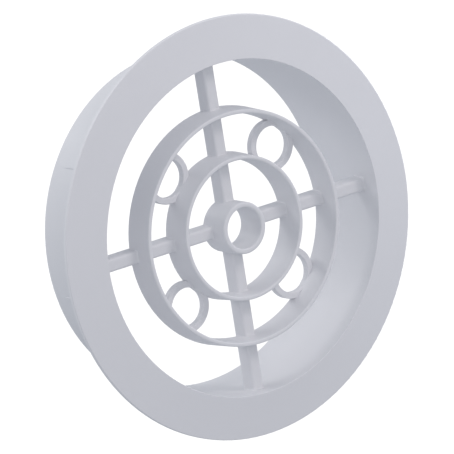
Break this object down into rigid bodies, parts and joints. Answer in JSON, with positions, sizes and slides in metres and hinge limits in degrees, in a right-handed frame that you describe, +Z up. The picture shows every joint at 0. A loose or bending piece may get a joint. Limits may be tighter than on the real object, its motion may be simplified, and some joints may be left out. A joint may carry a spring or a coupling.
{
  "type": "ventilation grille",
  "caption": "Round moulded ventilation grille: a shallow conical flange, a short spigot that plugs into a duct, and a spider of arms, rings and a bored hub across its mouth.",
  "frame": {"origin": "on the duct's axis, in the plane of the flat land behind the rim that seats on the wall", "axes": "+Y along the duct's axis, from the front face into the duct, so the grille faces -Y; +Z up, along one pair of arms; +X along the other pair"},
  "size_m": [0.116, 0.0278, 0.116],
  "materials": {
    "white_plastic": "satin, as moulded"
  },
  "bodies": {
    "root": {"grille": "white_plastic"}
  },
  "joints": []
}
